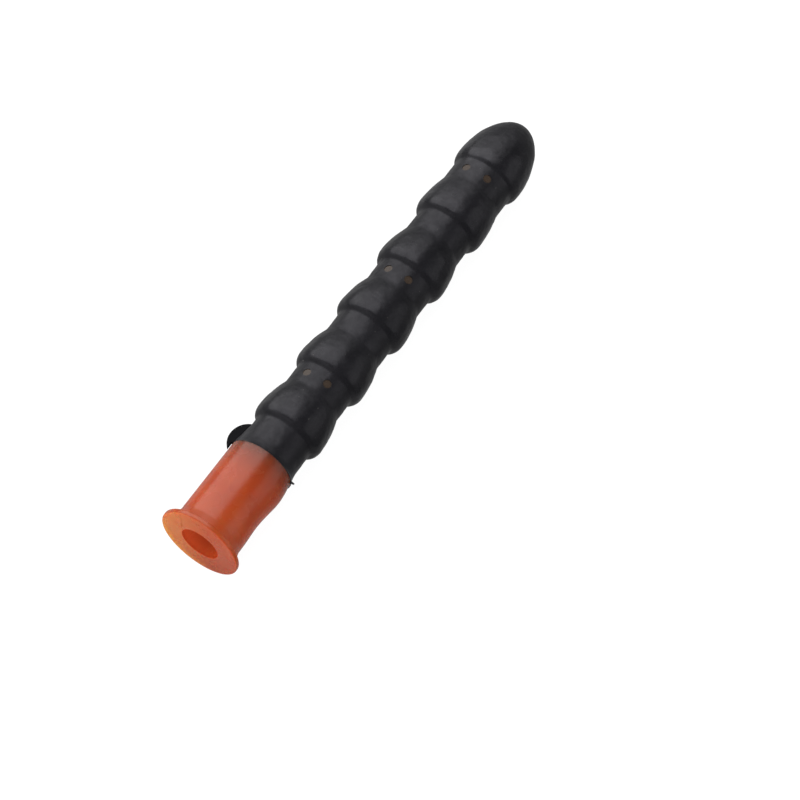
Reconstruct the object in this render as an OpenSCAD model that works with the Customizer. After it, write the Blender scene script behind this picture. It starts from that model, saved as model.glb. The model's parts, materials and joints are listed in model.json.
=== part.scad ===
// Plug for aerated concrete: a flanged, bored sleeve with a ribbed body moulded over it.
// The plug lies along X with its mouth at the low end. Its origin is on the surface that it
// lies on, under the middle of its length.
// Modules work along +Z from the face of the mouth, and one module lays them down.

/* [Overall] */
// Length from the face of the mouth to the tip of the nose
plug_len = 100; // [80:0.5:160]

/* [Sleeve] */
// Diameter of the sleeve where it is bare
tube_d = 12; // [10.5:0.1:15]
// Distance from the face of the mouth to the edge of the black body
bare_len = 18.2; // [12:0.1:30]
// How far the flange stands out from the sleeve
flange_lip = 1.5; // [1.1:0.05:4]
// Thickness of the flange at its rim
flange_t = 0.85; // [0.6:0.05:2.5]
// Radius of the flange's rounded rim
rim_round = 0.25; // [0.05:0.05:0.3]
// Radius of the hollow corner between the flange and the sleeve
flange_fillet = 0.5; // [0.1:0.05:0.75]
// Distance from the tip of the nose to the sleeve's closed end
nose_wall = 4; // [2.5:0.1:8]

/* [Bore] */
// Diameter of the bore at the mouth
mouth_bore_d = 7.2; // [5.6:0.1:8.6]
// Depth of the wide part of the bore
mouth_bore_len = 14; // [6:0.5:16]
// Diameter of the narrow part of the bore, in which the screw cuts its way
pilot_d = 4.8; // [3:0.1:5.4]
// Length of the funnel between the two parts of the bore
funnel_len = 4; // [2:0.5:8]
// Thickness of the sleeve's closed end
end_wall = 2; // [1:0.1:6]

/* [Ribbed body] */
// How far the valleys lie below the sleeve's surface
valley_depth = 0.55; // [0.2:0.05:0.9]
// Height of the ribs over the valleys
rib_height = 1.15; // [0.6:0.05:2]
// Thickness of the black body in the valleys
valley_wall = 0.7; // [0.5:0.05:1.8]
// Distance between one crest and the next
rib_pitch = 12.4; // [10.5:0.05:20]
// Length of a rib's steep shoulder, which faces the mouth
rib_rise = 1.85; // [0.8:0.05:3]
// Length of a rib's long slope towards the nose
rib_fall = 6.15; // [3:0.05:7.5]
// How much shallower the last valley is than the others
last_valley_rise = 0.3; // [0:0.05:0.5]
// Distance from the last crest to the tip of the nose
nose_len = 11.5; // [8:0.05:16]
// Fullness of the nose: low is pointed, high is blunt
nose_fullness = 1.9; // [1.6:0.05:3]
// Length of the hollow collar behind the edge of the body
collar_len = 2.6; // [0.8:0.05:3]

/* [Mould marks] */
// Diameter of the marks that the mould's locating pins leave
pin_d = 1.3; // [0.8:0.05:2]
// Depth of those marks under the valley's surface
pin_sink = 0.2; // [0.05:0.05:0.4]
// Angle of each pin to the direction in which the mould opens
pin_angle = 22.5; // [12:0.5:40]
// How far the sprue tab stands out from the sleeve
tab_stand = 1.75; // [0.8:0.05:2.5]
// Radius of the sprue tab's curved edge
tab_round = 3.4; // [2.8:0.05:4]
// Distance from the edge of the body to the middle of the sprue tab
tab_set = 2.4; // [1:0.05:2.6]
// Thickness of the sprue tab
tab_t = 0.8; // [0.4:0.05:1.6]
// Gap between the sprue tab's tail and the bare sleeve
tab_gap = 0.6; // [0.2:0.05:0.75]

/* [Hidden] */

$fn = 96;
// Points along each quarter turn of an outline, each long slope and the nose.
arc_steps = 8;
slope_steps = 10;
nose_steps = 14;
// The seam of the turned solids is kept a quarter turn from the flats on which they lie.
seam_turn = 90;

tube_r = tube_d / 2;
flange_r = tube_r + flange_lip;
valley_r = tube_r - valley_depth;
last_valley_r = valley_r + last_valley_rise;
crest_r = valley_r + rib_height;
core_r = valley_r - valley_wall;

// The ribs are counted back from the nose, as many as fit behind the collar.
last_crest = plug_len - nose_len;
rib_room = last_crest - bare_len - collar_len - rib_rise;
ribs = 1 + floor(rib_room / rib_pitch);
function crest_at(i) = last_crest - (ribs - 1 - i) * rib_pitch;
// The middle of the flat valley in front of a rib.
function valley_mid(i) = crest_at(i) - (rib_pitch + rib_rise - rib_fall) / 2;
// The pins hold the core in every other valley, counted from the nose.
pin_valleys = [for (i = [ribs - 1 : -2 : 1]) i];

core_end = plug_len - nose_wall;
bore_end = core_end - end_wall;

// As it lies, the plug touches the ground with its flange and its last crest. Each has a flat
// there, too shallow to see, which keeps it from rolling as rough plastic does.
lie_flat = 0.06;
lie_tilt = atan2(flange_r - crest_r, last_crest - flange_t / 2);
lie_height = flange_r * cos(lie_tilt) + flange_t / 2 * sin(lie_tilt) - lie_flat;
lie_middle = (plug_len * cos(lie_tilt) - flange_r * sin(lie_tilt)) / 2;

// Points of a quarter ellipse about a centre, from one angle to another, as [radius, distance].
function quarter(centre, size, from, to) = [
    for (i = [0 : arc_steps])
        let (k = from + (to - from) * i / arc_steps)
            [centre[0] + size[0] * cos(k), centre[1] + size[1] * sin(k)]
];
// The steep shoulder in front of a crest: it leaves the valley upright and ends level.
function shoulder(at, foot_r) = quarter([foot_r, at], [crest_r - foot_r, rib_rise], -90, 0);
// A rib's long slope, which steepens from the crest down to the next valley.
function slope(at, foot_r) = [
    for (i = [1 : slope_steps])
        let (q = i / slope_steps)
            [crest_r - (crest_r - foot_r) * pow(q, 2), at + rib_fall * q]
];
// The blunt nose behind the last crest.
function nose(at) = [
    for (i = [1 : nose_steps])
        let (q = sin(90 * i / nose_steps))
            [crest_r * sqrt(1 - pow(q, nose_fullness)), at + nose_len * q]
];
// The collar: a hollow curve from the sleeve's surface down to the first valley.
collar = [
    for (i = [0 : arc_steps])
        let (q = i / arc_steps)
            [tube_r - valley_depth * (1 - pow(1 - q, 2)), bare_len + collar_len * q]
];

// Radius of the valley in front of a rib.
function foot_at(i) = (i == ribs - 1) ? last_valley_r : valley_r;

// Outline of the body, from its front edge to the tip.
body_outline = concat(
    [[0, bare_len]],
    collar,
    [for (i = [0 : ribs - 2]) each concat(
        shoulder(crest_at(i), foot_at(i)),
        slope(crest_at(i), foot_at(i + 1))
    )],
    shoulder(last_crest, foot_at(ribs - 1)),
    nose(last_crest)
);

// Outline of the sleeve's outer surface. Its end inside the body is a short cone.
sleeve_outline = concat(
    [[0, 0]],
    quarter([flange_r - rim_round, rim_round], [rim_round, rim_round], -90, 0),
    quarter([flange_r - rim_round, flange_t - rim_round], [rim_round, rim_round], 0, 90),
    quarter([tube_r + flange_fillet, flange_t + flange_fillet], [flange_fillet, flange_fillet], 270, 180),
    [
        [tube_r, bare_len],
        [core_r, bare_len],
        [core_r, core_end - core_r / 2],
        [core_r / 2, core_end],
        [0, core_end]
    ]
);

// Turns an outline of [radius, distance] about the plug's axis.
module turned(outline) {
    rotate([0, 0, seam_turn]) rotate_extrude() polygon(outline);
}

// The blind bore: wide at the mouth, a funnel, then narrow.
module bore() {
    spare = 1;
    translate([0, 0, -spare]) cylinder(d = mouth_bore_d, h = mouth_bore_len + spare);
    translate([0, 0, mouth_bore_len]) cylinder(d1 = mouth_bore_d, d2 = pilot_d, h = funnel_len);
    translate([0, 0, mouth_bore_len]) cylinder(d = pilot_d, h = bore_end - mouth_bore_len);
}

// The four holes in one valley, two on each side of the mould.
module pin_holes(valley) {
    for (side = [0, 180], turn = [-pin_angle, pin_angle])
        translate([0, 0, valley_mid(valley)])
            rotate([0, 0, side + turn])
                rotate([0, 90, 0])
                    cylinder(d = pin_d, h = crest_r);
}

// The studs by which the pins hold the core. Each fills its hole almost to the valley's surface.
module pin_studs(valley) {
    intersection() {
        pin_holes(valley);
        translate([0, 0, valley_mid(valley) - pin_d])
            cylinder(r = foot_at(valley) - pin_sink, h = 2 * pin_d);
    }
}

// The sprue tab: a thin ear in the mould's parting plane, with a tail over the bare sleeve.
module sprue_tab() {
    rotate([90, 0, 90])
        translate([0, bare_len, -tab_t / 2])
            linear_extrude(tab_t)
                difference() {
                    translate([tube_r + tab_stand - tab_round, tab_set]) circle(r = tab_round);
                    translate([0, -tab_round]) square([tube_r + tab_gap, tab_round]);
                }
}

// Flanged sleeve, bright orange.
module inner_sleeve() {
    color("#c8552b")
        difference() {
            union() {
                turned(sleeve_outline);
                for (v = pin_valleys) pin_studs(v);
            }
            bore();
        }
}

// Ribbed body, black, moulded over the sleeve.
module outer_body() {
    color("#262629")
        difference() {
            union() {
                turned(body_outline);
                sprue_tab();
            }
            turned(sleeve_outline);
            for (v = pin_valleys) pin_holes(v);
        }
}

// Lays the plug down along X, on the flats of its flange and its last crest.
module laid_down() {
    intersection() {
        translate([-lie_middle, 0, lie_height])
            rotate([0, 90 + lie_tilt, 0])
                children();
        translate([-plug_len, -plug_len, 0]) cube([2 * plug_len, 2 * plug_len, plug_len]);
    }
}

laid_down() inner_sleeve();
laid_down() outer_body();
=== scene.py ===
"""Dresses the plug for aerated concrete: an orange sleeve with a black ribbed body moulded over it.

The plug lies along X on a pale floor, with its mouth at the low end. Each piece is modelled
upright, along +Z from the face of the mouth and in millimetres, and is then laid down where
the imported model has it.
"""

import json
import logging
import math
from dataclasses import dataclass, field
from enum import Enum

import bmesh
import bpy
from mathutils import Matrix, Vector, noise


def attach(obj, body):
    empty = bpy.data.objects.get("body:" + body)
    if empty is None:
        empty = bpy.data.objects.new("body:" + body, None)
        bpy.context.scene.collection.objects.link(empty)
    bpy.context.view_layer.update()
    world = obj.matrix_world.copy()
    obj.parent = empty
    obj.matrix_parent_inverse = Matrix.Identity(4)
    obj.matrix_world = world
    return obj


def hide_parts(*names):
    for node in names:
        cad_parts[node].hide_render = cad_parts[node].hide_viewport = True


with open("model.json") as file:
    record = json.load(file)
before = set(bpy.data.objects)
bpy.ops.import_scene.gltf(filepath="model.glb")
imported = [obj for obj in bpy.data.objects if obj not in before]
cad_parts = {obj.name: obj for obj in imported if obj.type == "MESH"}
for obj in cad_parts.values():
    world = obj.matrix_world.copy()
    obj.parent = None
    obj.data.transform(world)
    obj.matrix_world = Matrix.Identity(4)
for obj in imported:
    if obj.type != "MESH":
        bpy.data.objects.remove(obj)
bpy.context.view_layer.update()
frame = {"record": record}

log = logging.getLogger("plug")

MM = 0.001
BODY = "root"
# Vertices that are nearer to each other than this, in millimetres, are one.
WELD = 1e-5
# A point counts as on a surface within this distance, in millimetres.
TOUCH = 0.1
WHITE = (1.0, 1.0, 1.0, 1.0)

Point = tuple[float, float]
Span = tuple[float, float]
Colour = tuple[float, float, float]
Socket = bpy.types.NodeSocket


class Slot(Enum):
    """Material slots of the record."""

    ORANGE = "orange_plastic"
    BLACK = "black_plastic"


class Turn(Enum):
    """Quarter turns that an outline's arc can take, as start and end angles in degrees."""

    UP_TO_RIM = (-90.0, 0.0)
    RIM_TO_TOP = (0.0, 90.0)
    HOLLOW = (270.0, 180.0)


class Join(Enum):
    """Ways in which a tool's shape changes an object."""

    ADD = "UNION"
    CUT = "DIFFERENCE"


@dataclass(frozen=True)
class Lie:
    """Where the plug lies: its axis and the middle of its mouth, read from the record's mounts."""

    mouth: Vector
    along: Vector

    @classmethod
    def from_record(cls, record: dict) -> "Lie":
        """Reads the lie from the mount at the mouth.

        Args:
            record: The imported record.

        Returns:
            The lie of the plug.
        """
        mount = next(m for m in record["mounts"] if m["name"] == "screw_mouth")
        along = -Vector(mount["axis"]).normalized()
        half = mount["dims"]["length_mm"] * MM / 2
        return cls(Vector(mount["pos_m"]) - along * half, along)

    def matrix(self) -> Matrix:
        """Turns upright millimetres into metres in the frame."""
        side = Vector((0, 1, 0))
        down = side.cross(self.along)
        turn = Matrix((down, side, self.along)).transposed().to_4x4()
        return Matrix.Translation(self.mouth) @ turn @ Matrix.Scale(MM, 4)


def arc(centre: Point, size: Point, turn: Turn, steps: int) -> list[Point]:
    """Lists the points of a quarter ellipse.

    Args:
        centre: Its centre, as radius and distance.
        size: Its half axes, as radius and distance.
        turn: Which quarter it is.
        steps: How many stretches it has.

    Returns:
        Points of radius and distance, in millimetres.
    """
    start, end = turn.value
    angles = [math.radians(start + (end - start) * i / steps) for i in range(steps + 1)]
    return [(centre[0] + size[0] * math.cos(a), centre[1] + size[1] * math.sin(a)) for a in angles]


def dense(outline: list[Point], pitch: float) -> list[Point]:
    """Splits the long stretches of an outline.

    Args:
        outline: Points of radius and distance.
        pitch: The longest stretch that stays whole.

    Returns:
        The outline with more points.
    """
    out = [outline[0]]
    for a, b in zip(outline, outline[1:]):
        parts = max(1, math.ceil(math.dist(a, b) / pitch))
        out += [(a[0] + (b[0] - a[0]) * i / parts, a[1] + (b[1] - a[1]) * i / parts)
                for i in range(1, parts + 1)]
    return out


def softened(outline: list[Point], passes: int) -> list[Point]:
    """Rounds the corners of an outline, whose ends stay.

    Args:
        outline: Points of radius and distance, evenly spaced.
        passes: How often each point is averaged with its neighbours.

    Returns:
        The rounded outline.
    """
    for _ in range(passes):
        inner = [((a[0] + 2 * b[0] + c[0]) / 4, (a[1] + 2 * b[1] + c[1]) / 4)
                 for a, b, c in zip(outline, outline[1:], outline[2:])]
        outline = [outline[0], *inner, outline[-1]]
    return outline


def turned(outline: list[Point], steps: int) -> bmesh.types.BMesh:
    """Spins an outline about the plug's axis.

    Args:
        outline: Points of radius and distance, which start and end on the axis or meet.
        steps: How many steps the full turn has.

    Returns:
        A closed mesh whose faces point outwards.
    """
    bm = bmesh.new()
    verts = [bm.verts.new((radius, 0.0, along)) for radius, along in outline]
    edges = [bm.edges.new(pair) for pair in zip(verts, verts[1:])]
    bmesh.ops.spin(bm, geom=verts + edges, cent=(0, 0, 0), axis=(0, 0, 1),
                   angle=math.tau, steps=steps, use_merge=True)
    bmesh.ops.remove_doubles(bm, verts=bm.verts[:], dist=WELD)
    bmesh.ops.recalc_face_normals(bm, faces=bm.faces[:])
    return bm


def as_object(bm: bmesh.types.BMesh, name: str) -> bpy.types.Object:
    """Makes an object of a bmesh, and frees it.

    Args:
        bm: The mesh.
        name: The object's name.

    Returns:
        The linked object.
    """
    mesh = bpy.data.meshes.new(name)
    bm.to_mesh(mesh)
    bm.free()
    obj = bpy.data.objects.new(name, mesh)
    bpy.context.scene.collection.objects.link(obj)
    return obj


def join_shapes(obj: bpy.types.Object, tool: bpy.types.Object, how: Join) -> None:
    """Adds a tool's shape to an object, or cuts it away, and removes the tool.

    Args:
        obj: The object whose mesh changes.
        tool: The other shape.
        how: Whether the tool is added or cut away.
    """
    step = obj.modifiers.new("shape", "BOOLEAN")
    step.operation = how.value
    step.solver = "EXACT"
    step.object = tool
    graph = bpy.context.evaluated_depsgraph_get()
    shaped = bpy.data.meshes.new_from_object(obj.evaluated_get(graph))
    obj.modifiers.clear()
    old = obj.data
    obj.data = shaped
    bpy.data.meshes.remove(old)
    bpy.data.objects.remove(tool)


def finish_mesh(obj: bpy.types.Object, lie: Lie, crease_deg: float) -> None:
    """Lays a finished upright mesh down, flat where it touches, and sets where its shading breaks.

    Args:
        obj: The piece.
        lie: Where the plug lies.
        crease_deg: The angle over which an edge shows as an edge.
    """
    bm = bmesh.new()
    bm.from_mesh(obj.data)
    bmesh.ops.remove_doubles(bm, verts=bm.verts[:], dist=WELD)
    limit = math.radians(crease_deg)
    for face in bm.faces:
        face.smooth = True
    for edge in bm.edges:
        edge.smooth = len(edge.link_faces) == 2 and edge.calc_face_angle(0.0) < limit
    bm.transform(lie.matrix())
    for vert in bm.verts:
        vert.co.z = max(vert.co.z, 0.0)
    bmesh.ops.recalc_face_normals(bm, faces=bm.faces[:])
    bm.to_mesh(obj.data)
    bm.free()


@dataclass(frozen=True)
class Grain:
    """Noise on a piece's own coordinates.

    Attributes:
        scale: How many features a metre has.
        detail: How many finer layers it has.
        rough: How strong those layers are.
        span: The part of the noise's range, from 0 to 1, that is spread over the results.
        depth: How deep it is as relief, in metres.
    """

    scale: float
    detail: float
    rough: float = 0.5
    span: Span = (0.0, 1.0)
    depth: float = 0.0


class Finish:
    """A material that is built from shader nodes."""

    def __init__(self, name: str) -> None:
        """Starts an empty node material."""
        self.material = bpy.data.materials.new(name)
        self.material.use_nodes = True
        self.tree = self.material.node_tree
        self.shader = self.tree.nodes["Principled BSDF"]
        self.place = self.node("ShaderNodeTexCoord").outputs["Object"]

    def node(self, kind: str, **values: object) -> bpy.types.Node:
        """Adds a node.

        Args:
            kind: The node's type.
            values: Its properties, by name.

        Returns:
            The node.
        """
        made = self.tree.nodes.new(kind)
        for key, value in values.items():
            setattr(made, key, value)
        return made

    def link(self, source: Socket, target: Socket) -> None:
        """Links two sockets."""
        self.tree.links.new(source, target)

    def fix(self, name: str, value: object) -> None:
        """Gives one of the shader's inputs a constant value."""
        self.shader.inputs[name].default_value = value

    def drive(self, name: str, source: Socket) -> None:
        """Lets a socket give one of the shader's inputs its value."""
        self.link(source, self.shader.inputs[name])

    def noise(self, grain: Grain) -> Socket:
        """Adds noise, and returns its value from 0 to 1."""
        made = self.node("ShaderNodeTexNoise")
        made.inputs["Scale"].default_value = grain.scale
        made.inputs["Detail"].default_value = grain.detail
        made.inputs["Roughness"].default_value = grain.rough
        self.link(self.place, made.inputs["Vector"])
        return made.outputs["Fac"]

    def ramp(self, value: Socket, span: Span, results: Span = (0.0, 1.0)) -> Socket:
        """Maps a value from one span to another, and keeps it in that span.

        Args:
            value: What is mapped.
            span: The values that give the first and the last result.
            results: The first and the last result.

        Returns:
            The mapped value.
        """
        made = self.node("ShaderNodeMapRange")
        names = ("From Min", "From Max", "To Min", "To Max")
        for name, number in zip(names, (*span, *results)):
            made.inputs[name].default_value = number
        self.link(value, made.inputs["Value"])
        return made.outputs["Result"]

    def over(self, distance: Socket, span: Span, results: Span = (0.0, 1.0)) -> Socket:
        """Maps a distance in metres, over a span that is given in millimetres."""
        return self.ramp(distance, (span[0] * MM, span[1] * MM), results)

    def patches(self, grain: Grain, results: Span = (0.0, 1.0)) -> Socket:
        """Maps the used part of a noise's range to a span of results."""
        return self.ramp(self.noise(grain), grain.span, results)

    def times(self, first: Socket, second: Socket) -> Socket:
        """Multiplies two values."""
        made = self.node("ShaderNodeMath", operation="MULTIPLY")
        self.link(first, made.inputs[0])
        self.link(second, made.inputs[1])
        return made.outputs["Value"]

    def mix(self, factor: Socket, first: Socket | Colour, second: Socket | Colour) -> Socket:
        """Mixes two colours.

        Args:
            factor: How much of the second colour there is.
            first: A colour, or a socket that gives one.
            second: A colour, or a socket that gives one.

        Returns:
            The mixed colour.
        """
        made = self.node("ShaderNodeMix", data_type="RGBA")
        self.link(factor, made.inputs["Factor"])
        for name, colour in (("A", first), ("B", second)):
            socket = next(s for s in made.inputs if s.name == name and s.type == "RGBA")
            if isinstance(colour, bpy.types.NodeSocket):
                self.link(colour, socket)
            else:
                socket.default_value = (*colour, 1.0)
        return next(s for s in made.outputs if s.type == "RGBA")

    def vector(self, operation: str, first: Socket, second: Vector) -> bpy.types.Node:
        """Adds a sum on a vector and a constant one."""
        made = self.node("ShaderNodeVectorMath", operation=operation)
        self.link(first, made.inputs[0])
        made.inputs[1].default_value = second
        return made

    def coordinate(self, axis: str) -> Socket:
        """Finds the X, Y or Z of a place on the piece."""
        split = self.node("ShaderNodeSeparateXYZ")
        self.link(self.place, split.inputs["Vector"])
        return split.outputs[axis]

    def from_axis(self, lie: Lie) -> Socket:
        """Finds the distance from the plug's axis."""
        offset = self.vector("SUBTRACT", self.place, lie.mouth).outputs["Vector"]
        across = self.vector("CROSS_PRODUCT", offset, lie.along).outputs["Vector"]
        length = self.node("ShaderNodeVectorMath", operation="LENGTH")
        self.link(across, length.inputs[0])
        return length.outputs["Value"]

    def along(self, lie: Lie) -> Socket:
        """Finds the distance along the plug's axis from its mouth."""
        offset = self.vector("SUBTRACT", self.place, lie.mouth).outputs["Vector"]
        return self.vector("DOT_PRODUCT", offset, lie.along).outputs["Value"]

    def bump(self, grain: Grain, under: Socket | None = None) -> Socket:
        """Adds relief.

        Args:
            grain: The noise that gives its height.
            under: Relief that this one lies on.

        Returns:
            The bumped normal.
        """
        made = self.node("ShaderNodeBump")
        made.inputs["Distance"].default_value = grain.depth
        made.inputs["Strength"].default_value = 1.0
        self.link(self.noise(grain), made.inputs["Height"])
        if under is not None:
            self.link(under, made.inputs["Normal"])
        return made.outputs["Normal"]

    def relief(self, coarse: Grain, fine: Grain) -> None:
        """Gives the surface a coarse relief with a finer one on it."""
        self.drive("Normal", self.bump(fine, self.bump(coarse)))


@dataclass(frozen=True)
class OrangePlastic:
    """Waxy orange polyamide: it lets light through at thin edges and has a satin sheen.

    Spans are in millimetres: radii from the axis, depths along it from the mouth, sides across it
    towards the sprue tab, and heights over the floor. Each one is where a change starts and ends.

    Attributes:
        deep, warm: Colours of the sleeve, mixed by mottle.
        face_shade_right, face_lit_high, face_lit_left: Painted light on the flange's face, shaded away
        from the tab at the floor, lighter at the top, and lightest on the tab's side.
        face_facing: How squarely a place has to look out of the mouth to belong to the face.
        lit_edge: Colour of the face's low edge towards the tab, where light comes through.
        dim: Painted shade, the colour to which the sleeve darkens as it nears the black body, up to
            dim_peak.
        through: Colour of the bore's painted glow, an emission for the light through its wall.
        glow_peak, glow_end: Strength of that painted glow at the mouth, and its share at glow_depth.
        glow_lip_share: Share of it at the lip, from where it grows over glow_lip.
        glow_gain: How many times stronger it is on the tab's side.
        scatter: How far red, green and blue light spread under the skin.
        gloss, hidden_gloss: Level of the gloss outside and inside the black body.
        roughness: Least and greatest roughness, mixed by sheen.
    """

    deep: Colour = (0.215, 0.027, 0.0055)
    warm: Colour = (0.26, 0.039, 0.0085)
    mottle: Grain = Grain(110, 3, span=(0.35, 0.65))
    # Painted light on the flange's face: shaded away from the tab, lighter at the top and on the tab's
    # side.
    face_shade_right: Colour = (0.228, 0.036, 0.008)
    face_lit_high: Colour = (0.290, 0.051, 0.018)
    face_lit_left: Colour = (0.38, 0.110, 0.029)
    face_facing: Span = (0.75, 0.95)
    face_depths: Span = (2.0, 3.0)
    face_heights: Span = (2.0, 12.0)
    face_sides: Span = (-2.0, 6.0)
    rim: Colour = (0.215, 0.036, 0.007)
    rim_radii: Span = (6.9, 7.3)
    lit_edge: Colour = (0.40, 0.15, 0.020)
    lit_radii: Span = (6.0, 7.1)
    lit_sides: Span = (-2.0, 5.0)
    lit_heights: Span = (6.0, 10.0)
    # Painted shade: the sleeve darkens as it nears the black body.
    dim: Colour = (0.02, 0.012, 0.008)
    dim_depths: Span = (10.5, 18.2)
    dim_peak: float = 0.78
    stained: Colour = (0.026, 0.018, 0.013)
    stain_depths: Span = (19.0, 19.5)
    # Painted glow in the bore: emission stands in for the light that comes through its wall.
    through: Colour = (0.40, 0.045, 0.014)
    bore_r: float = 3.6
    glow_peak: float = 0.45
    glow_depth: float = 9.0
    glow_end: float = 0.25
    glow_lip: Span = (0.15, 0.9)
    glow_lip_share: float = 0.3
    glow_sides: Span = (0.0, 3.0)
    glow_gain: float = 1.7
    scatter: Colour = (2.2, 0.55, 0.18)
    scatter_share: float = 0.55
    ior: float = 1.5
    gloss: float = 0.25
    hidden_gloss: float = 0.16
    roughness: Span = (0.22, 0.31)
    sheen: Grain = Grain(300, 4, span=(0.3, 0.7))
    swell: Grain = Grain(260, 2, depth=0.000024)
    grain: Grain = Grain(2600, 3, depth=0.000003)

    def on_face(self, skin: Finish, lie: Lie, along: Socket) -> Socket:
        """Finds how far a place belongs to the flange's face, which looks out of the mouth."""
        normal = skin.node("ShaderNodeNewGeometry").outputs["Normal"]
        facing = skin.vector("DOT_PRODUCT", normal, -lie.along).outputs["Value"]
        shallow = skin.over(along, self.face_depths, (1.0, 0.0))
        return skin.times(skin.ramp(facing, self.face_facing), shallow)

    def painted_face_light(self, skin: Finish, radius: Socket) -> Socket:
        """Mixes the painted light on the flange's face: lighter at the top and on the tab's side, with a
        painted glow at its low edge, where light comes through.
        """
        side = skin.coordinate("Y")
        height = skin.coordinate("Z")
        # Painted light: the face is lighter at the top and towards the tab, and glows at its low edge.
        right = skin.mix(skin.over(height, self.face_heights), self.face_shade_right, self.face_lit_high)
        plain = skin.mix(skin.over(side, self.face_sides), right, self.face_lit_left)
        low = skin.over(height, self.lit_heights, (1.0, 0.0))
        low_left = skin.times(skin.over(side, self.lit_sides), low)
        return skin.mix(skin.times(skin.over(radius, self.lit_radii), low_left), plain, self.lit_edge)

    def glow(self, skin: Finish, along: Socket, radius: Socket) -> None:
        """Paints a glow into the bore's wall by emission, for the light that comes through it: less at its
        lip, and more towards the sprue tab.
        """
        inside = skin.over(radius, (self.bore_r, self.bore_r + TOUCH), (self.glow_peak, 0.0))
        depth = skin.over(along, (0.0, self.glow_depth), (1.0, self.glow_end))
        lip = skin.over(along, self.glow_lip, (self.glow_lip_share, 1.0))
        side = skin.over(skin.coordinate("Y"), self.glow_sides, (1.0, self.glow_gain))
        # Painted light: the bore's wall glows by emission, though no lamp is in it.
        skin.fix("Emission Color", (*self.through, 1.0))
        skin.drive("Emission Strength", skin.times(skin.times(inside, depth), skin.times(lip, side)))

    def material(self, lie: Lie) -> bpy.types.Material:
        """Builds the material.

        Args:
            lie: Where the plug lies.

        Returns:
            The material.
        """
        skin = Finish("orange_plastic_satin")
        along = skin.along(lie)
        radius = skin.from_axis(lie)
        colour = skin.mix(skin.patches(self.mottle), self.deep, self.warm)
        colour = skin.mix(skin.over(radius, self.rim_radii), colour, self.rim)
        # The flange's face takes its painted light over the sleeve's colour.
        colour = skin.mix(self.on_face(skin, lie, along), colour, self.painted_face_light(skin, radius))
        # Painted shade towards the black body. The ramp goes up to the root of its peak, and its square
        # gives the slow start.
        near = skin.over(along, self.dim_depths, (0.0, self.dim_peak**0.5))
        colour = skin.mix(skin.times(near, near), colour, self.dim)
        hidden = skin.over(along, self.stain_depths)
        skin.drive("Base Color", skin.mix(hidden, colour, self.stained))
        self.glow(skin, along, radius)
        whole = (0.0, 1.0)
        skin.drive("Specular IOR Level", skin.ramp(hidden, whole, (self.gloss, self.hidden_gloss)))
        skin.drive("Subsurface Weight", skin.ramp(hidden, whole, (self.scatter_share, 0.0)))
        skin.drive("Roughness", skin.patches(self.sheen, self.roughness))
        skin.fix("Subsurface Radius", self.scatter)
        skin.fix("Subsurface Scale", MM)
        skin.fix("IOR", self.ior)
        skin.relief(self.swell, self.grain)
        return skin.material


@dataclass(frozen=True)
class BlackPlastic:
    """Satin black polyamide with a faint moulded grain and a little dust.

    Attributes:
        base, worn: Colours of the body, mixed by wear.
        roughness: Least and greatest roughness on the crests, mixed by sheen.
        dulled: How much rougher the valleys are. It ends over dulled_radii, in millimetres.
        gloss: Level of the gloss, which differs by gloss_spread in patches.
        nose_gloss: How many times glossier the nose is. It begins over nose_depths, in millimetres
            from the mouth.
    """

    name: str = "black_plastic_satin"
    base: Colour = (0.0040, 0.0040, 0.0048)
    worn: Colour = (0.0065, 0.0063, 0.0076)
    wear: Grain = Grain(160, 4, span=(0.35, 0.7))
    dust: Colour = (0.08, 0.075, 0.07)
    specks: Grain = Grain(1900, 2, 0.6, span=(0.735, 0.78))
    tint: Colour = (0.95, 0.93, 1.0)
    roughness: Span = (0.25, 0.37)
    sheen: Grain = Grain(520, 6, 0.65, span=(0.3, 0.7))
    dulled: float = 0.10
    dulled_radii: Span = (5.6, 6.4)
    ior: float = 1.5
    gloss: float = 0.175
    gloss_spread: float = 0.2
    gloss_patches: Grain = Grain(700, 5, 0.7, span=(0.3, 0.7))
    nose_gloss: float = 1.2
    nose_depths: Span = (72.0, 88.0)
    swell: Grain = Grain(420, 3, depth=0.00003)
    grain: Grain = Grain(1500, 4, 0.6, depth=0.000005)

    def material(self, lie: Lie) -> bpy.types.Material:
        """Builds the material, which is duller in the valleys than on the crests.

        Args:
            lie: Where the plug lies.

        Returns:
            The material.
        """
        skin = Finish(self.name)
        colour = skin.mix(skin.patches(self.wear), self.base, self.worn)
        skin.drive("Base Color", skin.mix(skin.patches(self.specks), colour, self.dust))
        rough = skin.node("ShaderNodeMath", operation="ADD")
        skin.link(skin.patches(self.sheen, self.roughness), rough.inputs[0])
        skin.link(skin.over(skin.from_axis(lie), self.dulled_radii, (self.dulled, 0.0)), rough.inputs[1])
        skin.drive("Roughness", rough.outputs["Value"])
        least = self.gloss * (1.0 - self.gloss_spread)
        most = self.gloss * (1.0 + self.gloss_spread)
        polish = skin.over(skin.along(lie), self.nose_depths, (1.0, self.nose_gloss))
        gloss = skin.times(skin.patches(self.gloss_patches, (least, most)), polish)
        skin.drive("Specular IOR Level", gloss)
        skin.fix("Specular Tint", (*self.tint, 1.0))
        skin.fix("IOR", self.ior)
        skin.relief(self.swell, self.grain)
        return skin.material


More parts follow.
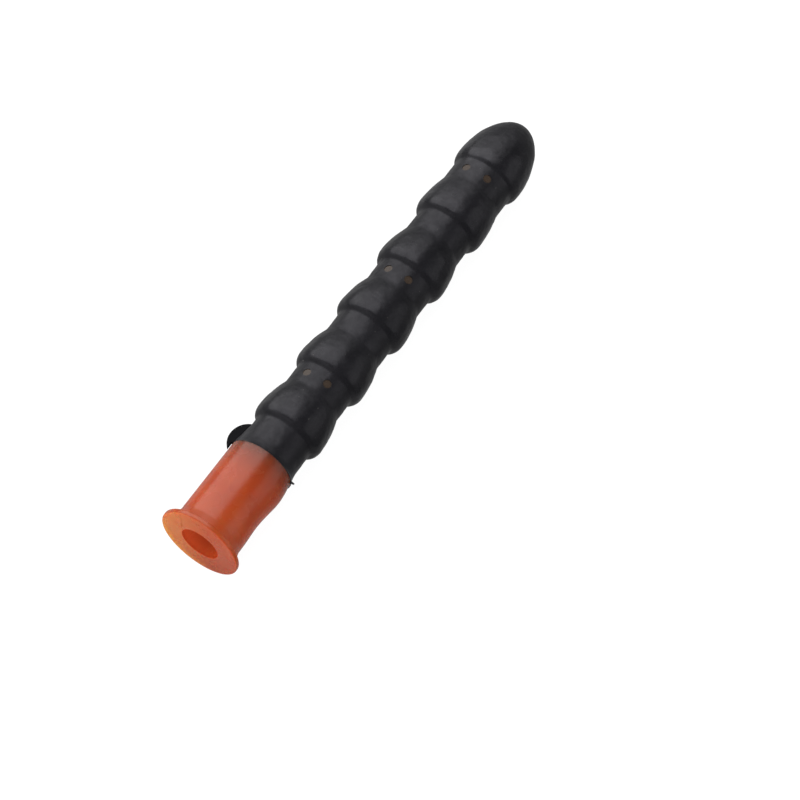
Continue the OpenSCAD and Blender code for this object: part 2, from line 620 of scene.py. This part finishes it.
@dataclass
class Sizes:
    """Driving sizes of the plug, in millimetres.

    A name that ends in len is a length along the plug, in r a radius and in t a thickness.

    Attributes:
        nose_wall: Distance from the sleeve's closed end to the tip of the nose.
        rib_rise, rib_fall: Lengths of a rib's steep shoulder and of its slope towards the nose.
        pin_sink, pin_root: How far the studs end under the valley, and how far they reach inwards.
        pin_angle: Angle of each pin to the mould's opening direction, in degrees.
    """

    plug_len: float = 100.0
    tube_r: float = 6.0
    bare_len: float = 18.2
    flange_r: float = 7.5
    flange_t: float = 0.85
    rim_round: float = 0.25
    flange_fillet: float = 0.5
    nose_wall: float = 4.0
    mouth_bore_r: float = 3.6
    mouth_bore_len: float = 14.0
    pilot_r: float = 2.4
    funnel_len: float = 4.0
    end_wall: float = 2.0
    valley_r: float = 5.45
    last_valley_r: float = 5.75
    crest_r: float = 6.6
    core_r: float = 4.75
    ribs: int = 6
    rib_pitch: float = 12.4
    rib_rise: float = 1.85
    rib_fall: float = 6.15
    nose_len: float = 11.5
    nose_fullness: float = 1.9
    collar_len: float = 2.6
    pin_r: float = 0.76
    pin_sink: float = 0.12
    pin_root: float = 0.4
    pin_angle: float = 22.5
    pin_segments: int = 40

    @property
    def last_crest(self) -> float:
        """Distance from the mouth to the last crest."""
        return self.plug_len - self.nose_len

    @property
    def core_end(self) -> float:
        """Distance from the mouth to the sleeve's closed end."""
        return self.plug_len - self.nose_wall

    def crest_at(self, index: int) -> float:
        """Distance from the mouth to a crest."""
        return self.last_crest - (self.ribs - 1 - index) * self.rib_pitch

    def foot_r(self, index: int) -> float:
        """Radius of the valley in front of a rib."""
        return self.last_valley_r if index == self.ribs - 1 else self.valley_r

    def valley_mid(self, index: int) -> float:
        """Distance from the mouth to the middle of the flat valley in front of a rib."""
        return self.crest_at(index) - (self.rib_pitch + self.rib_rise - self.rib_fall) / 2


def pin_rods(sizes: Sizes, name: str, sink: float) -> bpy.types.Object:
    """Makes a rod for each locating pin, from inside the core outwards.

    Args:
        sizes: The plug's sizes.
        name: The object's name.
        sink: How far the rods end under the valley's surface, or over it if negative.

    Returns:
        The rods, upright, as one object.
    """
    bm = bmesh.new()
    start = sizes.core_r - sizes.pin_root
    for index in range(sizes.ribs - 1, 0, -2):
        length = sizes.foot_r(index) - sink - start
        for side in (0.0, 180.0):
            for turn in (-sizes.pin_angle, sizes.pin_angle):
                place = (Matrix.Translation((0, 0, sizes.valley_mid(index)))
                         @ Matrix.Rotation(math.radians(side + turn), 4, "Z")
                         @ Matrix.Rotation(math.radians(90), 4, "Y")
                         @ Matrix.Translation((0, 0, start + length / 2)))
                bmesh.ops.create_cone(bm, cap_ends=True, segments=sizes.pin_segments,
                                      radius1=sizes.pin_r, radius2=sizes.pin_r,
                                      depth=length, matrix=place)
    return as_object(bm, name)


@dataclass(frozen=True)
class Wave:
    """A low swelling or dent: where it is along the plug, how far it reaches, and its height."""

    at: float
    reach: float
    height: float

    def height_at(self, along: float) -> float:
        """Height at a distance from the mouth."""
        return self.height * math.exp(-((along - self.at) / self.reach) ** 2)


@dataclass
class InnerSleeve:
    """The orange sleeve: flange, bare tube, blind bore and the core inside the black body.

    Lengths are in millimetres. Bearings are in degrees: 0 at the top and -90 at the sprue tab.

    Attributes:
        pitch, hidden_pitch: Longest stretch of the outline where it shows, and where it doesn't.
        mouth_round: Radius of the bore's lip.
        flare: Width of the short cone behind the flange, and where it ends.
        waves: Swellings and dents of the bare tube, at swell_bearing and fading over swell_width.
        lean: How far the flange leans back at lean_bearing. It fades out at lean_fade.
        mouth_set_back: How far the bore's lip lies behind the flange's rim.
        side_reach: How many times wider the flange is towards the tab.
        crease_at: Distance of the face's crease from the middle.
    """

    sizes: Sizes
    finish: OrangePlastic = field(default_factory=OrangePlastic)
    turn_steps: int = 192
    arc_steps: int = 8
    pitch: float = 0.3
    hidden_pitch: float = 1.0
    crease_deg: float = 40.0
    mouth_round: float = 0.05
    flare: Point = (0.42, 3.0)
    swell_bearing: float = 104.0
    swell_width: float = 42.0
    waves: tuple[Wave, ...] = (Wave(8.6, 2.8, -0.20), Wave(14.4, 2.3, 0.26), Wave(18.2, 1.2, -0.16))
    lean: float = 0.55
    lean_bearing: float = -10.0
    lean_fade: float = 3.2
    mouth_set_back: float = 0.2
    side_reach: float = 1.03
    crease_at: float = 3.4
    crease_width: float = 0.4
    crease_depth: float = 0.03

    def outline(self) -> list[Point]:
        """Lists the sleeve's section, from the bore's end round the flange to the core's end."""
        z = self.sizes
        rim = z.rim_round
        fillet = z.flange_fillet
        edge = self.mouth_round
        root = (z.tube_r + self.flare[0] + fillet, z.flange_t + fillet)
        bore_end = z.core_end - z.end_wall
        funnel_end = z.mouth_bore_len + z.funnel_len
        front = arc((z.mouth_bore_r + edge, edge), (edge, edge), Turn.HOLLOW, self.arc_steps)
        inner = [(0.0, bore_end), (z.pilot_r, bore_end), (z.pilot_r, funnel_end),
                 (z.mouth_bore_r, z.mouth_bore_len), (z.mouth_bore_r, self.lean_fade)]
        outer = [
            (z.mouth_bore_r, self.lean_fade),
            *reversed(front),
            *arc((z.flange_r - rim, rim), (rim, rim), Turn.UP_TO_RIM, self.arc_steps),
            *arc((z.flange_r - rim, z.flange_t - rim), (rim, rim), Turn.RIM_TO_TOP, self.arc_steps),
            *arc(root, (fillet, fillet), Turn.HOLLOW, self.arc_steps),
            (z.tube_r, self.flare[1]), (z.tube_r, z.bare_len), (z.core_r, z.bare_len),
        ]
        core = [(z.core_r, z.bare_len), (z.core_r, z.core_end - z.core_r / 2),
                (z.core_r / 2, z.core_end), (0.0, z.core_end)]
        hidden = self.hidden_pitch
        return [*dense(inner, hidden), *dense(outer, self.pitch)[1:], *dense(core, hidden)[1:]]

    def crease(self) -> bpy.types.Object:
        """Makes the tool for the crease in the flange's face, from its top edge to the bore."""
        z = self.sizes
        bm = bmesh.new()
        bmesh.ops.create_cube(bm, size=math.sqrt(0.5))
        bmesh.ops.rotate(bm, verts=bm.verts[:], matrix=Matrix.Rotation(math.radians(45), 3, "X"))
        start = math.sqrt(z.mouth_bore_r**2 - self.crease_at**2)
        length = z.flange_r - start
        bmesh.ops.scale(bm, verts=bm.verts[:],
                        vec=(length * math.sqrt(2), self.crease_width, self.crease_depth * 2))
        bmesh.ops.translate(bm, verts=bm.verts[:], vec=(-start - length / 2, self.crease_at, 0))
        return as_object(bm, "crease")

    def lean_back(self, vert: bpy.types.MeshVertex, radius: float, bearing: float) -> None:
        """Leans the flange back at a vertex, and widens it towards the tab.

        Args:
            vert: A vertex in front of where the lean fades out.
            radius: Its distance from the axis.
            bearing: Its bearing.
        """
        z = self.sizes
        fade = 1.0 - max(0.0, (vert.co.z - z.flange_t) / (self.lean_fade - z.flange_t))
        rim_share = max(0.0, (radius - z.mouth_bore_r) / (z.flange_r - z.mouth_bore_r))
        top = math.cos(math.radians(bearing - self.lean_bearing) / 2) ** 4
        wider = (self.side_reach - 1.0) * max(0.0, vert.co.y / z.flange_r) * rim_share * fade
        vert.co.z += fade * (self.mouth_set_back * (1 - rim_share) + self.lean * top * rim_share)
        vert.co.y *= 1.0 + wider

    def uneven(self, mesh: bpy.types.Mesh) -> None:
        """Gives the sleeve the leaning flange, the dents and the swelling of the real one.

        Args:
            mesh: The upright sleeve.
        """
        z = self.sizes
        for vert in mesh.vertices:
            x, y, along = vert.co
            radius = math.hypot(x, y)
            bearing = math.degrees(math.atan2(-y, -x))
            if along < self.lean_fade:
                self.lean_back(vert, radius, bearing)
            if radius < z.tube_r - TOUCH or along > z.bare_len:
                continue
            share = math.exp(-((bearing - self.swell_bearing) / self.swell_width) ** 2)
            out = share * sum(wave.height_at(along) for wave in self.waves)
            vert.co.x += out * x / radius
            vert.co.y += out * y / radius

    def build(self, lie: Lie) -> bpy.types.Object:
        """Models and dresses the sleeve.

        Args:
            lie: Where the plug lies.

        Returns:
            The piece.
        """
        obj = as_object(turned(self.outline(), self.turn_steps), "sleeve")
        join_shapes(obj, pin_rods(self.sizes, "studs", self.sizes.pin_sink), Join.ADD)
        join_shapes(obj, self.crease(), Join.CUT)
        self.uneven(obj.data)
        finish_mesh(obj, lie, self.crease_deg)
        obj.data.materials.append(self.finish.material(lie))
        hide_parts("inner_sleeve")
        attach(obj, BODY)
        return obj


@dataclass
class OuterBody:
    """The black body: hollow collar, ribs, blunt nose, pin holes, sprue tab and flash.

    Lengths are in millimetres. Bearings are in degrees: 0 at the top and -90 at the sprue tab.

    Attributes:
        cut_finish: The duller plastic of the sprue tab.
        pitch, fine_pitch: Longest stretch of the outline inside and outside.
        pin_clear: How far the cutting rods stand over the valley.
        tab_reach, tab_set: Distance of the tab's outer edge from the axis, and of its middle
            from the body's edge.
        tab_stretch: How many times longer than wide its round is.
        tab_notch, tab_gap: Length behind the body's edge of the gap under the tail, and its height.
        tab_facing: How squarely a face has to look across the mould's plane to be the tab's side.
        tab_root: Swelling at the tab's root, fading over tab_root_width.
        whisker_reach: How far the whisker stands out from the sleeve.
        whisker_inset, whisker_front: How far under the sleeve's surface it starts, and how far
            in front of the body's edge it lies.
        whisker_tip, whisker_flat: Shares of its radius at the tip, and of its width in thickness.
        edge_back: How far the body's front edge creeps over the sleeve.
        edge_sag: How much farther it creeps a quarter turn from edge_bearing.
        edge_lip: Height of the edge over the sleeve, kept for edge_flat and then lost by edge_drop.
        edge_fade: How far behind the edge the body still moves with it.
        lump_scale, lump_depth: Lumps in a millimetre, and how far they stand out.
        lump_layers: Fading, fineness and number of the finer layers of lumps.
        tip_r: Radius within which the tip of the nose moves less.
    """

    sizes: Sizes
    finish: BlackPlastic = field(default_factory=BlackPlastic)
    cut_finish: BlackPlastic = BlackPlastic("black_plastic_cut", gloss=0.02, roughness=(0.45, 0.6),
                                            worn=(0.0045, 0.0045, 0.0045))
    turn_steps: int = 160
    arc_steps: int = 10
    slope_steps: int = 14
    nose_steps: int = 24
    pitch: float = 1.2
    fine_pitch: float = 0.22
    soft_passes: int = 6
    crease_deg: float = 30.0
    pin_clear: float = 1.0
    tab_reach: float = 7.75
    tab_round: float = 3.4
    tab_set: float = 2.0
    tab_stretch: float = 1.05
    tab_segments: int = 72
    tab_notch: float = 0.6
    tab_gap: float = 0.6
    tab_t: float = 0.8
    tab_facing: float = 0.95
    tab_root: Wave = Wave(19.9, 2.1, 0.48)
    tab_root_width: float = 30.0
    whisker_reach: float = 0.65
    whisker_inset: float = 0.2
    whisker_front: float = 0.1
    whisker_r: float = 0.3
    whisker_tip: float = 0.5
    whisker_flat: float = 0.5
    edge_back: float = 0.02
    edge_sag: float = 0.12
    edge_bearing: float = 10.0
    edge_lip: float = 0.03
    edge_flat: float = 0.05
    edge_drop: float = 0.9
    edge_fade: float = 2.6
    lump_scale: float = 0.42
    lump_depth: float = 0.055
    lump_layers: tuple[float, float, int] = (0.7, 2.0, 3)
    tip_r: float = 0.5

    def shoulder(self, at: float, foot: float) -> list[Point]:
        """Lists the steep shoulder in front of a crest."""
        z = self.sizes
        return arc((foot, at), (z.crest_r - foot, z.rib_rise), Turn.UP_TO_RIM, self.arc_steps)

    def slope(self, at: float, foot: float) -> list[Point]:
        """Lists a rib's long slope down to the next valley."""
        z = self.sizes
        shares = [i / self.slope_steps for i in range(1, self.slope_steps + 1)]
        return [(z.crest_r - (z.crest_r - foot) * q * q, at + z.rib_fall * q) for q in shares]

    def nose(self) -> list[Point]:
        """Lists the blunt nose behind the last crest."""
        z = self.sizes
        shares = [math.sin(math.radians(90 * i / self.nose_steps)) for i in range(1, self.nose_steps)]
        points = [(z.crest_r * math.sqrt(1 - q**z.nose_fullness), z.last_crest + z.nose_len * q)
                  for q in shares]
        return [*points, (0.0, z.plug_len)]

    def collar(self) -> list[Point]:
        """Lists the hollow collar, from the sleeve's surface down to the first valley."""
        z = self.sizes
        shares = [i / self.arc_steps for i in range(self.arc_steps + 1)]
        return [(z.tube_r - (z.tube_r - z.valley_r) * (1 - (1 - q) ** 2), z.bare_len + z.collar_len * q)
                for q in shares]

    def outline(self) -> list[Point]:
        """Lists the body's section, from the core's end inside to the tip of the nose."""
        z = self.sizes
        inner = [(0.0, z.core_end), (z.core_r / 2, z.core_end), (z.core_r, z.core_end - z.core_r / 2),
                 (z.core_r, z.bare_len)]
        points = self.collar()
        for i in range(z.ribs):
            points += self.shoulder(z.crest_at(i), z.foot_r(i))
            if i < z.ribs - 1:
                points += self.slope(z.crest_at(i), z.foot_r(i + 1))
        points += self.nose()
        return dense(inner, self.pitch) + softened(dense(points, self.fine_pitch), self.soft_passes)

    def uneven(self, mesh: bpy.types.Mesh) -> None:
        """Gives the body faint lumps, a root for its tab and an edge that wanders over the sleeve.

        Args:
            mesh: The upright body.
        """
        z = self.sizes
        for vert in mesh.vertices:
            x, y, along = vert.co
            radius = math.hypot(x, y)
            if radius < z.core_r + TOUCH and along < z.core_end + TOUCH:
                continue
            bearing = math.atan2(-y, -x)
            lump = noise.fractal(vert.co * self.lump_scale, *self.lump_layers)
            out = self.lump_depth * lump * min(1.0, radius)
            share = math.exp(-((math.degrees(bearing) + 90.0) / self.tab_root_width) ** 2)
            share *= min(1.0, max(0.0, along - z.bare_len))
            out += share * self.tab_root.height_at(along)
            if along < z.bare_len + self.edge_fade:
                fade = 1.0 - (along - z.bare_len) / self.edge_fade
                sway = math.sin(bearing - math.radians(self.edge_bearing)) ** 2
                along -= fade * (self.edge_back + self.edge_sag * sway)
                fall = self.edge_drop * max(0.0, along - z.bare_len - self.edge_flat)
                out = max(out, z.tube_r + self.edge_lip - fall - radius)
            stretch = 1 + out / max(radius, self.tip_r)
            vert.co = Vector((x * stretch, y * stretch, along))

    def on_tab(self, place: Vector, normal: Vector) -> bool:
        """Tells whether a face of the upright body belongs to the sprue tab.

        Args:
            place: The face's middle.
            normal: The face's normal, which on the tab's two sides lies across the mould's plane.

        Returns:
            True on the tab.
        """
        z = self.sizes
        inner_r = z.core_r if abs(normal.x) > self.tab_facing else z.tube_r + TOUCH
        tab_end = z.bare_len + self.tab_set + self.tab_round * self.tab_stretch + TOUCH
        return place.y > inner_r and abs(place.x) < self.tab_t and place.z < tab_end

    def tab(self) -> bpy.types.Object:
        """Makes the sprue tab, a thin ear whose tail stands over the bare sleeve."""
        z = self.sizes
        bm = bmesh.new()
        bmesh.ops.create_circle(bm, cap_ends=True, segments=self.tab_segments, radius=self.tab_round)
        bmesh.ops.scale(bm, verts=bm.verts[:], vec=(1, self.tab_stretch, 1))
        bmesh.ops.translate(bm, verts=bm.verts[:],
                            vec=(self.tab_reach - self.tab_round, z.bare_len + self.tab_set, 0))
        corner = Vector((z.tube_r + self.tab_gap, z.bare_len + self.tab_notch, 0))
        for across in ((-1, 0, 0), (0, -1, 0)):
            geom = bm.verts[:] + bm.edges[:] + bm.faces[:]
            bmesh.ops.bisect_plane(bm, geom=geom, plane_co=corner, plane_no=across)
        hollow = [face for face in bm.faces
                  if face.calc_center_median().x < corner.x and face.calc_center_median().y < corner.y]
        bmesh.ops.delete(bm, geom=hollow, context="FACES")
        made = bmesh.ops.extrude_face_region(bm, geom=bm.faces[:])
        upper = [part for part in made["geom"] if isinstance(part, bmesh.types.BMVert)]
        bmesh.ops.translate(bm, verts=upper, vec=(0, 0, self.tab_t))
        bmesh.ops.translate(bm, verts=bm.verts[:], vec=(0, 0, -self.tab_t / 2))
        bmesh.ops.recalc_face_normals(bm, faces=bm.faces[:])
        turn = Matrix.Rotation(math.radians(90), 4, "Z") @ Matrix.Rotation(math.radians(90), 4, "X")
        bm.transform(turn)
        return as_object(bm, "tab")

    def whisker(self) -> bpy.types.Object:
        """Makes the whisker of flash, a sliver that stands out where the mould closes."""
        z = self.sizes
        bm = bmesh.new()
        root = Vector((0, self.whisker_inset - z.tube_r, z.bare_len - self.whisker_front))
        tip = Vector((0, -z.tube_r - self.whisker_reach, z.bare_len - self.whisker_front))
        turn = (root - tip).to_track_quat("Z", "X").to_matrix().to_4x4()
        place = Matrix.Translation((root + tip) / 2) @ turn @ Matrix.Diagonal((1, self.whisker_flat, 1, 1))
        bmesh.ops.create_cone(bm, cap_ends=True, segments=12, radius1=self.whisker_r * self.whisker_tip,
                              radius2=self.whisker_r, depth=(root - tip).length, matrix=place)
        return as_object(bm, "whisker")

    def build(self, lie: Lie) -> bpy.types.Object:
        """Models and dresses the body.

        Args:
            lie: Where the plug lies.

        Returns:
            The piece.
        """
        obj = as_object(turned(self.outline(), self.turn_steps), "ribbed_body")
        self.uneven(obj.data)
        join_shapes(obj, self.tab(), Join.ADD)
        join_shapes(obj, self.whisker(), Join.ADD)
        join_shapes(obj, pin_rods(self.sizes, "pin_cutter", -self.pin_clear), Join.CUT)
        obj.data.materials.clear()
        obj.data.materials.append(self.finish.material(lie))
        obj.data.materials.append(self.cut_finish.material(lie))
        for face in obj.data.polygons:
            face.material_index = int(self.on_tab(face.center, face.normal))
        finish_mesh(obj, lie, self.crease_deg)
        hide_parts("outer_body")
        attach(obj, BODY)
        return obj


@dataclass(frozen=True)
class PhotoCamera:
    """The camera, at the photograph's viewing angle. Distances are in metres."""

    azimuth_deg: float = -56.524
    elevation_deg: float = 60.58
    distance: float = 0.5585
    aim: tuple[float, float, float] = (-0.008707, -0.012543, 0.007444)
    lens_mm: float = 148.4
    sensor_mm: float = 36.0
    nearest: float = 0.02
    farthest: float = 10.0

    def build(self) -> bpy.types.Object:
        """Makes the camera and sets it as the scene's."""
        data = bpy.data.cameras.new("photo_camera")
        data.lens = self.lens_mm
        data.sensor_width = self.sensor_mm
        data.clip_start = self.nearest
        data.clip_end = self.farthest
        azimuth = math.radians(self.azimuth_deg)
        elevation = math.radians(self.elevation_deg)
        level = math.cos(elevation)
        back = Vector((math.sin(azimuth) * level, -math.cos(azimuth) * level, math.sin(elevation)))
        camera = bpy.data.objects.new("photo_camera", data)
        camera.location = Vector(self.aim) + back * self.distance
        camera.rotation_mode = "QUATERNION"
        camera.rotation_quaternion = (-back).to_track_quat("-Z", "Y")
        bpy.context.scene.collection.objects.link(camera)
        bpy.context.scene.camera = camera
        return camera


@dataclass(frozen=True)
class Softbox:
    """A rectangular soft light, placed by its angle round the plug's axis. Sizes are in metres.

    Attributes:
        around_deg: Its angle from straight up, towards the right of the photograph.
        lean: How far it stands towards the nose, as the tangent of its angle.
        mirrored: Whether it shows in gloss. A light that doesn't only fills.
    """

    name: str
    around_deg: float
    lean: float
    width: float
    length: float
    power: float
    distance: float = 0.75
    mirrored: bool = True

    def build(self) -> bpy.types.Object:
        """Makes the light, aimed at the plug."""
        data = bpy.data.lights.new(self.name, "AREA")
        data.shape = "RECTANGLE"
        data.size = self.length
        data.size_y = self.width
        data.energy = self.power
        around = math.radians(self.around_deg)
        away = Vector((self.lean, -math.sin(around), math.cos(around))).normalized()
        light = bpy.data.objects.new(self.name, data)
        light.location = away * self.distance
        light.rotation_mode = "QUATERNION"
        across = Vector((1, 0, 0))
        across = (across - away * across.dot(away)).normalized()
        turn = Matrix((across, away.cross(across), away)).transposed()
        light.rotation_quaternion = turn.to_quaternion()
        light.visible_glossy = self.mirrored
        bpy.context.scene.collection.objects.link(light)
        return light


@dataclass(frozen=True)
class Card:
    """A grey card that lies beside the plug and shows only in its gloss, as a flag in a studio.

    Attributes:
        near, far: Where it starts and ends across the plug, in metres.
        shades: Least and greatest share of its grey, in faint patches.
        lift: Its height over the floor, in metres.
    """

    name: str
    near: float
    far: float
    grey: float
    shades: Span = (0.95, 1.05)
    patches: Grain = Grain(12, 2)
    length: float = 1.2
    lift: float = 0.0001

    def build(self) -> bpy.types.Object:
        """Makes the card, from its near edge to its far edge across the plug."""
        bm = bmesh.new()
        bmesh.ops.create_grid(bm, x_segments=1, y_segments=1, size=0.5)
        bmesh.ops.scale(bm, verts=bm.verts[:], vec=(self.length, abs(self.far - self.near), 1.0))
        bmesh.ops.translate(bm, verts=bm.verts[:], vec=(0.0, (self.near + self.far) / 2, self.lift))
        obj = as_object(bm, self.name)
        skin = Finish(self.name)
        low, high = ((self.grey * share,) * 3 for share in self.shades)
        skin.drive("Emission Color", skin.mix(skin.noise(self.patches), low, high))
        skin.fix("Emission Strength", 1.0)
        skin.fix("Base Color", (0.0, 0.0, 0.0, 1.0))
        obj.data.materials.append(skin.material)
        obj.visible_camera = False
        obj.visible_diffuse = False
        obj.visible_shadow = False
        return obj


@dataclass(frozen=True)
class Studio:
    """The pale floor, the soft lights, the cards and the grey room round them.

    Attributes:
        floor_shade: Share of floor_colour in its darker patches.
        floor_glow: Strength of the floor's own light, which keeps it pale.
        room_grey, backdrop_grey: Brightness of the room, and of what the camera sees of it.
    """

    floor_size: float = 3.0
    floor_cells: int = 8
    floor_colour: Colour = (0.07, 0.07, 0.07)
    floor_shade: float = 0.985
    floor_patches: Grain = Grain(3, 2)
    floor_roughness: float = 0.9
    floor_gloss: float = 0.1
    floor_glow: float = 0.96
    room_grey: float = 0.15
    backdrop_grey: float = 0.95
    boxes: tuple[Softbox, ...] = (
        Softbox("key_softbox", around_deg=-33.5, lean=0.075, width=1.42, length=0.90, power=10.2),
        Softbox("key_far_softbox", around_deg=-33.5, lean=0.27, width=1.44, length=1.30, power=6.85,
                distance=0.76),
        Softbox("side_softbox", around_deg=72.0, lean=0.21, width=0.55, length=1.1, power=1.9),
        Softbox("right_fill", around_deg=75.0, lean=0.0, width=0.50, length=1.0, power=2.7,
                mirrored=False),
        Softbox("slope_softbox", around_deg=-16.0, lean=1.08, width=0.52, length=0.66, power=1.15),
        Softbox("front_left_softbox", around_deg=-67.0, lean=-1.14, width=0.90, length=0.90, power=2.4),
        Softbox("front_fill", around_deg=0.0, lean=-2.2, width=0.60, length=0.60, power=3.75,
                distance=0.60, mirrored=False),
    )
    cards: tuple[Card, ...] = (
        Card("right_far_card", near=-0.80, far=-0.016, grey=0.15),
        Card("right_near_card", near=-0.016, far=0.0, grey=0.38),
        Card("left_near_card", near=0.0, far=0.021, grey=0.30),
        Card("left_middle_card", near=0.021, far=0.042, grey=0.58),
        Card("left_far_card", near=0.042, far=0.80, grey=0.12),
    )

    def floor(self) -> bpy.types.Object:
        """Makes the floor."""
        bm = bmesh.new()
        bmesh.ops.create_grid(bm, x_segments=self.floor_cells, y_segments=self.floor_cells,
                              size=self.floor_size / 2)
        obj = as_object(bm, "floor")
        skin = Finish("pale_floor")
        darker = tuple(part * self.floor_shade for part in self.floor_colour)
        skin.drive("Base Color", skin.mix(skin.noise(self.floor_patches), self.floor_colour, darker))
        skin.fix("Roughness", self.floor_roughness)
        skin.fix("Specular IOR Level", self.floor_gloss)
        skin.fix("Emission Color", WHITE)
        skin.fix("Emission Strength", self.floor_glow)
        obj.data.materials.append(skin.material)
        return obj

    def world(self) -> None:
        """Makes the room's even light, which is paler where the camera sees it."""
        world = bpy.data.worlds.new("room")
        bpy.context.scene.world = world
        world.use_nodes = True
        tree = world.node_tree
        shade = tree.nodes["Background"]
        path = tree.nodes.new("ShaderNodeLightPath")
        span = tree.nodes.new("ShaderNodeMapRange")
        span.inputs["To Min"].default_value = self.room_grey
        span.inputs["To Max"].default_value = self.backdrop_grey
        tree.links.new(path.outputs["Is Camera Ray"], span.inputs["Value"])
        tree.links.new(span.outputs["Result"], shade.inputs["Strength"])
        shade.inputs["Color"].default_value = WHITE

    def build(self) -> None:
        """Builds the whole studio."""
        self.floor()
        self.world()
        for item in (*self.boxes, *self.cards):
            item.build()
        bpy.context.scene.view_settings.view_transform = "Standard"


def main() -> None:
    """Builds the camera, the plug and the studio in order."""
    logging.basicConfig(level=logging.INFO, format="%(name)s: %(message)s")
    lie = Lie.from_record(frame["record"])
    PhotoCamera().build()
    sizes = Sizes()
    for maker in (InnerSleeve(sizes), OuterBody(sizes)):
        piece = maker.build(lie)
        log.info("%s: %d faces", piece.name, len(piece.data.polygons))
    Studio().build()


if __name__ == "__main__":
    main()
